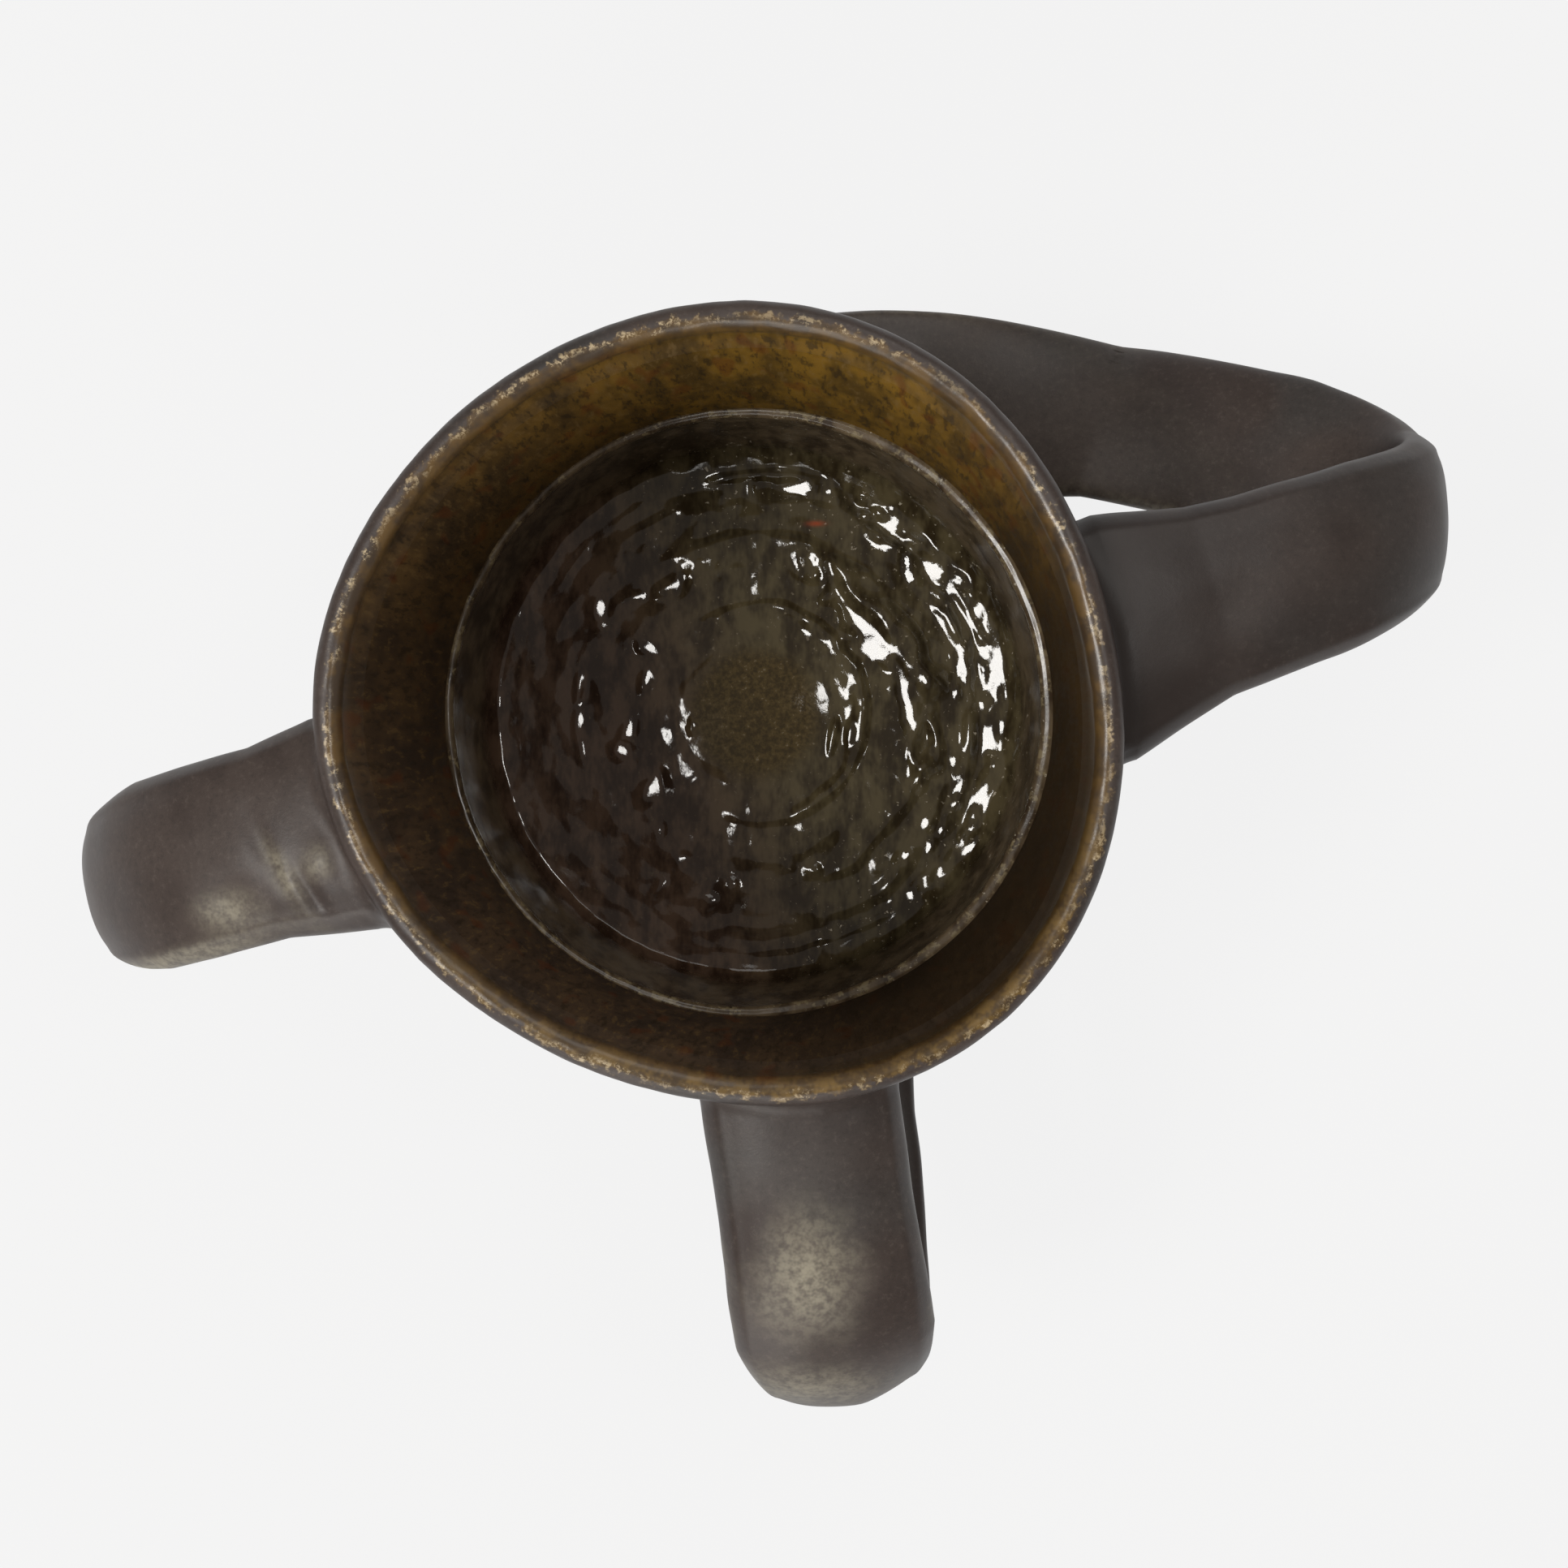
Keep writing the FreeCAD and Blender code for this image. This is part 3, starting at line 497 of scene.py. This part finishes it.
def strap_points(h, s, u):
    """Points of a strap at shares s of its line and section angles u, and its directions of travel.

    The line is two cubic Hermite spans, root to bend and bend to foot. The section is x = w sgn(cos u)|cos u|^0.83,
    y = c sin(u)^0.91 outside and -b|sin u|^0.71 inside, across the flat and outward from the line, with w half the
    width, c the crown and b the belly. A low ridge runs along each edge, and one corner is worn down at the bend."""
    upper = (s <= 0.5)[..., None]
    t = np.where(s <= 0.5, 2 * s, 2 * s - 1)[..., None]
    start, end = np.where(upper, h["root"], h["bend"]), np.where(upper, h["bend"], h["foot"])
    go, come = np.where(upper, h["leave"], h["fall"]), np.where(upper, h["fall"], h["arrive"])
    line = start * (2*t**3 - 3*t**2 + 1) + go * (t**3 - 2*t**2 + t) + end * (3*t**2 - 2*t**3) + come * (t**3 - t**2)
    travel = unit(start * (6*t**2 - 6*t) + go * (3*t**2 - 4*t + 1) + end * (6*t - 6*t**2) + come * (3*t**2 - 2*t))
    flat = heading(np.interp(s, FLAT_AT, h["flat"]), np.interp(s, ROLL_AT, h["roll"]))
    side = unit(flat - np.sum(flat * travel, -1, keepdims=True) * travel)
    out = np.cross(travel, side)
    half_width, sway = np.interp(s, WIDTH_AT, h["width"]) / 2, np.interp(s, SWAY_AT, h["sway"])
    c, d = np.cos(u), np.sin(u)
    x = np.sign(c) * np.abs(c) ** 0.83
    worn = h["worn"] * np.exp(-((s - 0.47) / 0.12) ** 2)
    crown = np.interp(s, CROWN_AT, h["crown"]) * (1 - worn * np.clip(x, 0, 1) ** 2)
    belly = np.interp(s, [0, 0.14, 0.87, 1], [4.0, 2.4, 2.4, 4.0])
    y = np.where(d > 0, crown * np.abs(d) ** 0.91, -belly * np.abs(d) ** 0.71) - 2.2 * worn * np.clip(x - 0.2, 0, 1)
    ridge = 0.22 * np.exp(-((np.abs(x) - 0.85) / 0.07) ** 2) * (d > 0)
    return line + side * (half_width * x + sway)[..., None] + out * (y + ridge)[..., None], travel


def wall_gap(point):
    """How far points stand outside the pot's wall."""
    azimuth = np.arctan2(point[..., 1], point[..., 0])
    return np.hypot(point[..., 0], point[..., 1]) - outside(azimuth, point[..., 2])


def on_wall(point, sunk=0.0):
    """The points of the wall's outside at the same azimuths and heights, sunk into it by a distance."""
    azimuth = np.arctan2(point[..., 1], point[..., 0])
    radius = outside(azimuth, point[..., 2]) - sunk
    return np.stack([radius * np.cos(azimuth), radius * np.sin(azimuth), point[..., 2]], -1)


def handle(name, h, flare, seed, patches=(), marks=()):
    """A strap whose lines leave the wall in a fillet: for every section angle, where the strap stands `flare` clear
    of the wall, a cubic carries it on along its own travel and down into the wall's surface, spread outward.
    patches are paler places, partly pale wear and partly painted sheen and highlights, and marks are what thumbs left:
    x, y, length, breadth, direction and strength."""
    u = np.linspace(0, 2 * np.pi, 104, endpoint=False)
    spread = np.interp(np.cos(u), [-1, 1], h["spread"])
    s = np.linspace(0, 1, 401)
    clear = wall_gap(strap_points(h, *np.meshgrid(s, u, indexing="ij"))[0]) > flare
    first = s[np.argmax(clear, axis=0)]
    last = s[len(s) - 1 - np.argmax(clear[::-1], axis=0)]
    free = first + (last - first) * np.linspace(0, 1, 190)[:, None]
    point, travel = strap_points(h, free, np.broadcast_to(u, free.shape))
    centre = point.mean(axis=1, keepdims=True)

    def root(row, sense):
        """Rows of one fillet, from the strap to the wall; sense is 1 at the upper root and -1 at the lower."""
        leaves, way_on = point[row], -sense * travel[row]
        wall = on_wall(leaves)
        azimuth = np.arctan2(wall[:, 1], wall[:, 0])
        normal = np.stack([np.cos(azimuth), np.sin(azimuth), 0 * azimuth], -1)
        outward = leaves - centre[row]
        outward = unit(outward - np.sum(outward * normal, -1, keepdims=True) * normal)
        lands = wall + outward * spread[:, None]
        lands[:, 2] = np.minimum(lands[:, 2], LIP_BASE + 0.3)
        lands = on_wall(lands, 0.04)
        t = np.linspace(0, 1, 14)[1:, None, None]
        reach = np.linalg.norm(lands - leaves, axis=-1)[:, None]
        along_wall = unit(lands - leaves - np.sum((lands - leaves) * normal, -1, keepdims=True) * normal)
        rows = (leaves * (2*t**3 - 3*t**2 + 1) + way_on * reach * 1.1 * (t**3 - 2*t**2 + t)
                + lands * (3*t**2 - 2*t**3) + along_wall * reach * 1.1 * (t**3 - t**2))
        sunk = [on_wall(lands, 1.4)[None], on_wall((lands + lands.mean(0)) / 2, 1.6)[None]]
        return np.concatenate([rows] + sunk)

    rings = np.concatenate([root(0, 1)[::-1], point, root(-1, -1)])
    normal = unit(rings - rings.mean(axis=1, keepdims=True))
    hand = 0.30 * lumps(rings, 16.0, seed) + 0.12 * lumps(rings, 6.0, seed + 1)
    rings = rings + normal * (step(0.3, 4.0, wall_gap(rings)) * hand)[..., None]

    def spot(x, y, length, breadth, direction):
        """How much of an oval spot lies on each point of the upper half, seen from above."""
        a = np.radians(direction)
        along = (rings[..., 0] - x) * np.cos(a) + (rings[..., 1] - y) * np.sin(a)
        across = (rings[..., 1] - y) * np.cos(a) - (rings[..., 0] - x) * np.sin(a)
        ragged = 1 + 0.35 * lumps(rings, 4.0, seed + 2)
        return np.exp(-((along / length) ** 2 + (across / breadth) ** 2) * ragged) * step(48.0, 58.0, rings[..., 2])

    for *where, rise in marks:
        rings[..., 2] += rise * spot(*where) * step(0.0, 0.5, normal[..., 2])
    # Paler patches: partly pale wear, partly painted sheen and highlights.
    patch = sum((strength * spot(*where) for *where, strength in patches), 0 * rings[..., 0])
    # Painted shade along the strap, by its dark values, strongest near the roots.
    patch -= np.interp(np.linspace(0, 1, len(rings)), DARK_AT, h["dark"])[:, None]
    # Painted highlight: paler streaks along the strap's two edges.
    painted_edge_highlight = np.abs(np.cos(u)) ** 14 * step(2.0, 6.0, wall_gap(rings)) * step(-0.6, 0.5, lumps(rings, 5.0, seed + 3))
    return tube(name, rings, [rings[0].mean(0), rings[-1].mean(0)], [(0, dry_clay)], {"patch": patch + 0.4 * painted_edge_highlight})


# The solid's radii at SECTION_HEIGHTS, how deep the ends of a strap's line lie in its wall, and how high the bend is.
SECTION_RADII = [43, 45, 44.2, 44.5]
ROOT_DEPTH, BEND_HEIGHT = 7.0, 58.0


def strap_line(azimuth, reach, root, foot, leave, fall, arrive, **section):
    """A handle's line from its root, bend and foot, and its section along it. The bend is at an azimuth and reaches
    out from the wall. root and foot are a swing round from the bend and a height. leave and fall are the line's
    directions at the root and bend: a swing, a slope and a pull. It ends level, so arrive is a swing and a pull."""
    ends = []
    for swing, height in (root, foot):
        a = np.radians(azimuth + swing)
        wall = float(np.interp(height, SECTION_HEIGHTS, SECTION_RADII) + warp_share(height) * rim_warp(a))
        ends.append(polar(wall - ROOT_DEPTH, azimuth + swing, height))
    section["flat"] = [azimuth + 90.0 + turn for turn in section["flat"]]
    return dict(section, root=ends[0], foot=ends[1], bend=polar(SECTION_RADII[-1] + reach, azimuth, BEND_HEIGHT),
                leave=heading(azimuth + leave[0], leave[1]) * leave[2],
                fall=heading(azimuth + fall[0], -fall[1]) * fall[2],
                arrive=heading(azimuth + 180.0 + arrive[0]) * arrive[1])


# ---- left handle ----
# A plain loop of the same clay, pulled, bent over and pressed on almost level with the lip. Its upper root was pushed
# down with the thumbs, which left dents and ridges; the pale places on the ridges and along the lower edge are painted
# highlights, and painted shade darkens the root a little.

left = strap_line(azimuth=195.86, reach=33.6, root=(0.95, 81.5), foot=(-0.7, 33.0),
                  leave=(-1.8, 10.0, 61.6), fall=(-8.45, 84.4, 53.8), arrive=(-0.7, 63.0),
                  flat=[-1.3, -3.6, -1.7], roll=[7.1, 7.1, 0, 0], crown=[5.6, 4.4, 4.4, 4.95, 4.4, 4.0, 5.2],
                  width=[27.5, 22.2, 22.3, 17.8, 18.9, 18.9, 25.0], sway=[0, 0, 0], spread=[1.6, 4.2], worn=0.0,
                  dark=[0.1, 0.1, 0, 0, 0])
handle("left_handle", left, 2.2, seed=50,
       patches=((-56.5, -22.8, 3.8, 2.2, 10, 0.9), (-49.6, -18.3, 1.3, 4.4, 30, 0.8),
                (-45.4, -17.2, 1.7, 2.1, 0, 0.7), (-63.0, -28.6, 11.0, 1.3, 16, 0.8)),
       marks=((-56.0, -21.5, 3.4, 2.2, 10, -0.55), (-51.3, -16.0, 1.4, 4.5, 30, -0.45),
              (-48.6, -18.9, 0.9, 4.2, 30, 0.45), (-46.6, -20.5, 1.0, 3.6, 35, -0.5),
              (-45.0, -17.0, 1.4, 1.8, 0, 0.4)))


# ---- front handle ----
# A second plain loop, nearly the same, a little lower under the lip. The place where it bends is paler, partly pale
# wear and partly painted sheen, and its tip has a painted sheen; painted shade darkens its root under the lip and its
# lower half. One corner of the bend is worn down.

front = strap_line(azimuth=-80.71, reach=36.2, root=(1.45, 80.5), foot=(5.5, 32.5),
                   leave=(-0.95, 4.0, 77.2), fall=(-0.7, 88.4, 58.9), arrive=(3.9, 72.8),
                   flat=[-1.4, -5.4, -2.9], roll=[-2.4, -2.4, 1.8, 0], crown=[5.6, 4.6, 4.6, 4.7, 4.6, 4.2, 5.2],
                   width=[22.5, 22.6, 23.4, 18.8, 21.3, 19.7, 22.3], sway=[0, 0, 0], spread=[1.5, 1.8], worn=0.44,
                   dark=[0.4, 0.1, 0, 0.5, 0.5])
handle("front_handle", front, 2.0, seed=60,
       patches=((9.0, -64.5, 5.4, 6.6, 0, 0.95), (9.2, -57.0, 5.2, 7.0, 0, 0.25), (9.0, -79.0, 9.0, 3.2, 0, 0.70)))


# ---- large handle ----
# The long one, pulled from the same clay: it leaves under the lip, swings out and down, twists, and was pressed on a
# fifth of a turn further round. Painted shade darkens it towards its root.

large = strap_line(azimuth=18.22, reach=39.3, root=(-7.2, 79.8), foot=(66.15, 32.5),
                   leave=(1.7, -0.2, 65.8), fall=(113.5, 60.65, 55.2), arrive=(7.2, 59.6),
                   flat=[3.05, -17.9, -27.25], roll=[2.5, 2.5, -26.8, 39.1], crown=[5.6, 4.1, 4.1, 4.4, 4.1, 3.7, 5.2],
                   width=[31.5, 22.1, 19.8, 16.0, 21.0, 24.2, 27.2], sway=[-1.3, -0.75, -0.1], spread=[2.6, 1.2],
                   worn=0.0, dark=[1.0, 0.45, 0.35, -0.05, -0.05])
handle("large_handle", large, 2.4, seed=70)


# ---- the table and the light ----
# A plain pale paper with a faint shadow. Two small lamps overhead make the spots of light on the wet floor of the mug,
# and three broad ones lower down light the handles and the wall.

floor_mesh = bpy.data.meshes.new("sweep")
half_side, below = 3.0, -0.0005
floor_mesh.from_pydata([(x * half_side, y * half_side, below) for x, y in ((-1, -1), (1, -1), (1, 1), (-1, 1))], [],
                       [(0, 1, 2, 3)])
sweep = bpy.data.objects.new("sweep", floor_mesh)
bpy.context.scene.collection.objects.link(sweep)
paper = Finish("pale_paper")
rays = [paper.add("ShaderNodeLightPath", out="Is %s Ray" % kind) for kind in ("Camera", "Glossy", "Transmission")]
seen = paper.maths("ADD", paper.maths("ADD", rays[0], rays[1]), rays[2], clamp=True)
seen = paper.maths("MULTIPLY", seen, 0.93)
glow = paper.add("ShaderNodeEmission", Color=(0.906, 0.906, 0.908, 1), Strength=1.0)
matt = paper.add("ShaderNodeBsdfDiffuse", Color=(0.75, 0.75, 0.75, 1))
out = paper.add("ShaderNodeMixShader", i0=seen, i1=matt, i2=glow)
paper.tree.links.new(out, paper.tree.nodes["Material Output"].inputs["Surface"])
floor_mesh.materials.append(paper.material)


POT_MIDDLE = 0.05


def lamp(name, azimuth, height, distance, size, watts, blue):
    """A square soft lamp aimed at the middle of the pot, at an azimuth and height in degrees. Its distance and size
    are in metres, and blue is how much blue its light has."""
    data = bpy.data.lights.new(name, "AREA")
    data.size, data.energy, data.color = size, watts, (1.0, 0.98, blue)
    light = bpy.data.objects.new(name, data)
    back = heading(azimuth, height)
    place = back * distance + [0, 0, POT_MIDDLE]
    right = unit(np.cross([0, 0, 1.0], back))
    up = np.cross(back, right)
    bpy.context.scene.collection.objects.link(light)
    light.matrix_world = Matrix([[right[i], up[i], back[i], place[i]] for i in range(3)] + [[0, 0, 0, 1]])


lamp("ceiling", 197, 63, 0.8, 0.20, 3.4, 0.95)
lamp("ceiling_right", 20, 70, 0.8, 0.11, 0.9, 0.95)
lamp("side", 72, 48, 1.0, 0.50, 1.7, 0.95)
lamp("window", 262, 38, 1.0, 0.40, 2.4, 0.94)
lamp("low", 250, 14, 1.0, 0.50, 2.2, 0.94)

world = bpy.data.worlds.new("room")
world.use_nodes = True
room_light = world.node_tree.nodes["Background"].inputs
room_light["Color"].default_value = (0.95, 0.86, 0.78, 1)
room_light["Strength"].default_value = 0.34
scene = bpy.context.scene
scene.world = world


# ---- the camera ----
# It looks down from 270 mm over the rim, two degrees off the vertical. The lens, the pixel that lies straight below
# it and the pixel of the rim's middle were measured on the photograph.

lens_pixels, frame_pixels, middle = 3040.0, 1932.0, 966.0
straight_below, rim_middle, over_rim, rim_height = (1052.0, 906.0), (893.0, 872.0), 270.0, 90.0


def sight(pixel):
    """The camera's own direction towards a pixel, at depth 1."""
    return np.array([(pixel[0] - middle) / lens_pixels, -(pixel[1] - middle) / lens_pixels, -1.0])


down = unit(sight(straight_below))
right = unit(np.array([1.0, 0, 0]) - down[0] * down)
turned = np.column_stack([right, np.cross(-down, right), -down])
place = np.array([0, 0, rim_height]) - turned.T @ (sight(rim_middle) * over_rim)
eye = bpy.data.cameras.new("camera")
eye.sensor_width = 36.0
eye.lens = lens_pixels / frame_pixels * eye.sensor_width
eye.clip_start = 0.01
camera = bpy.data.objects.new("camera", eye)
scene.collection.objects.link(camera)
camera.matrix_world = Matrix([list(turned.T[i]) + [place[i] / 1000.0] for i in range(3)] + [[0, 0, 0, 1]])
scene.camera = camera
scene.view_settings.view_transform = "Standard"
